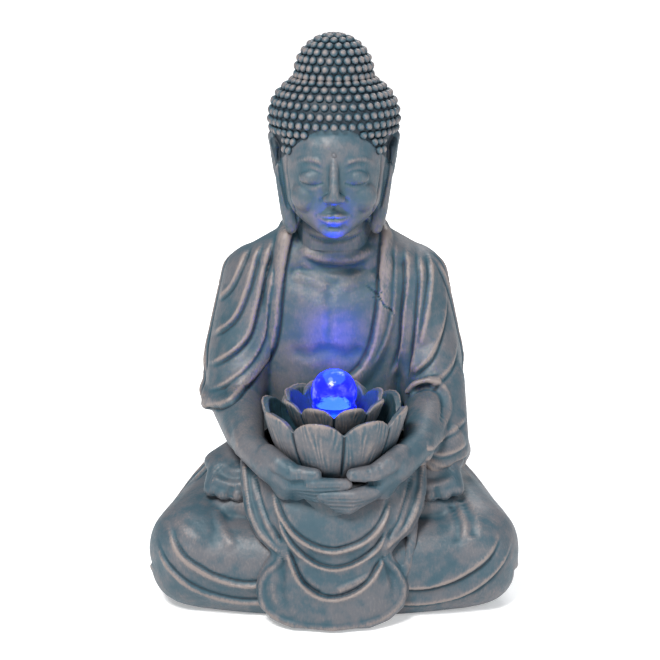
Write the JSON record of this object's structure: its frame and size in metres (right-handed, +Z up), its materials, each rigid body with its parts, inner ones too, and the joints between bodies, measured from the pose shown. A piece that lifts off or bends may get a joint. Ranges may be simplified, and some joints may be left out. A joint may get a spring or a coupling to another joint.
{
  "type": "tabletop water fountain",
  "caption": "Tabletop fountain: a seated robed figure holds a lotus bowl in its hands, with a clear lit ball on a water jet, over a hidden tank and pump.",
  "frame": {"origin": "middle of the footprint at table height", "axes": "+Z up, the figure faces -Y, +X to the figure's left"},
  "size_m": [0.2652, 0.2078, 0.3997],
  "materials": {
    "verdigris_cast_resin": "matte, dry-brushed",
    "clear_plastic": "clear",
    "clear_ball": "polished",
    "grey_plastic": "matte",
    "black_plastic": "satin",
    "red_plastic": "satin",
    "white_plastic": "matte",
    "circuit_board": "satin",
    "blue_light": "lit",
    "clear_hose": "satin",
    "black_rubber": "matte",
    "red_rubber": "matte",
    "steel": "bright",
    "ceramic_white": "polished",
    "copper_winding": "enamelled"
  },
  "bodies": {
    "fountain": {"figure_casting": "verdigris_cast_resin", "head_casting": "verdigris_cast_resin", "right_hand": "verdigris_cast_resin", "left_hand": "verdigris_cast_resin", "lotus_bowl": "verdigris_cast_resin", "jet_nozzle": "grey_plastic", "nozzle_nut": "grey_plastic", "nozzle_seal": "black_rubber", "light_housing": "grey_plastic", "light_board": "circuit_board", "light_emitters": "blue_light", "light_lens": "clear_plastic", "riser_hose": "clear_hose", "hose_clips": "steel", "pump_housing": "black_plastic", "stator_core": "steel", "stator_coil": "copper_winding", "pump_rear_cover": "black_plastic", "pump_screws": "steel", "volute_cover": "black_plastic", "volute_seal": "red_rubber", "impeller_shaft": "ceramic_white", "suction_feet": "black_rubber", "water_tank": "grey_plastic", "tank_screws": "steel", "foot_pads": "black_rubber", "cord_grommet": "black_rubber", "junction_box": "white_plastic", "junction_screws": "steel", "pump_lead": "black_rubber", "light_lead": "black_rubber"},
    "inner_lotus": {"lotus_insert": "verdigris_cast_resin", "ball_seat": "clear_plastic"},
    "ball": {"clear_ball": "clear_ball"},
    "rotor": {"impeller": "white_plastic"},
    "dial": {"flow_dial": "red_plastic"},
    "strainer": {"pump_strainer": "black_plastic"},
    "service_hatch": {"hatch": "verdigris_cast_resin", "hatch_seal": "black_rubber", "hatch_pull": "grey_plastic", "hatch_pull_screw": "steel"},
    "drain_stopper": {"drain_plug": "black_rubber"}
  },
  "joints": [
    {"name": "inner_lotus_lift", "type": "slide", "parent": "fountain", "child": "inner_lotus", "axis": [0, 0, 1], "range_m": [0, 0.06]},
    {"name": "ball_turn", "type": "hinge", "parent": "inner_lotus", "child": "ball", "pos_m": [0, -0.055, 0.161], "axis": [1, 0, 0], "continuous": true},
    {"name": "rotor_spin", "type": "hinge", "parent": "fountain", "child": "rotor", "pos_m": [0, 0.026, 0.02554], "axis": [0, 1, 0], "continuous": true},
    {"name": "flow_dial_turn", "type": "hinge", "parent": "fountain", "child": "dial", "pos_m": [0.019, 0.013, 0.02554], "axis": [1, 0, 0], "range_deg": [0, 80]},
    {"name": "strainer_pull", "type": "slide", "parent": "fountain", "child": "strainer", "axis": [0, -1, 0], "range_m": [0, 0.02]},
    {"name": "hatch_pull_out", "type": "slide", "parent": "fountain", "child": "service_hatch", "axis": [0, 1, 0], "range_m": [0, 0.045]},
    {"name": "drain_plug_pull", "type": "slide", "parent": "fountain", "child": "drain_stopper", "axis": [0, 1, 0], "range_m": [0, 0.015]}
  ]
}
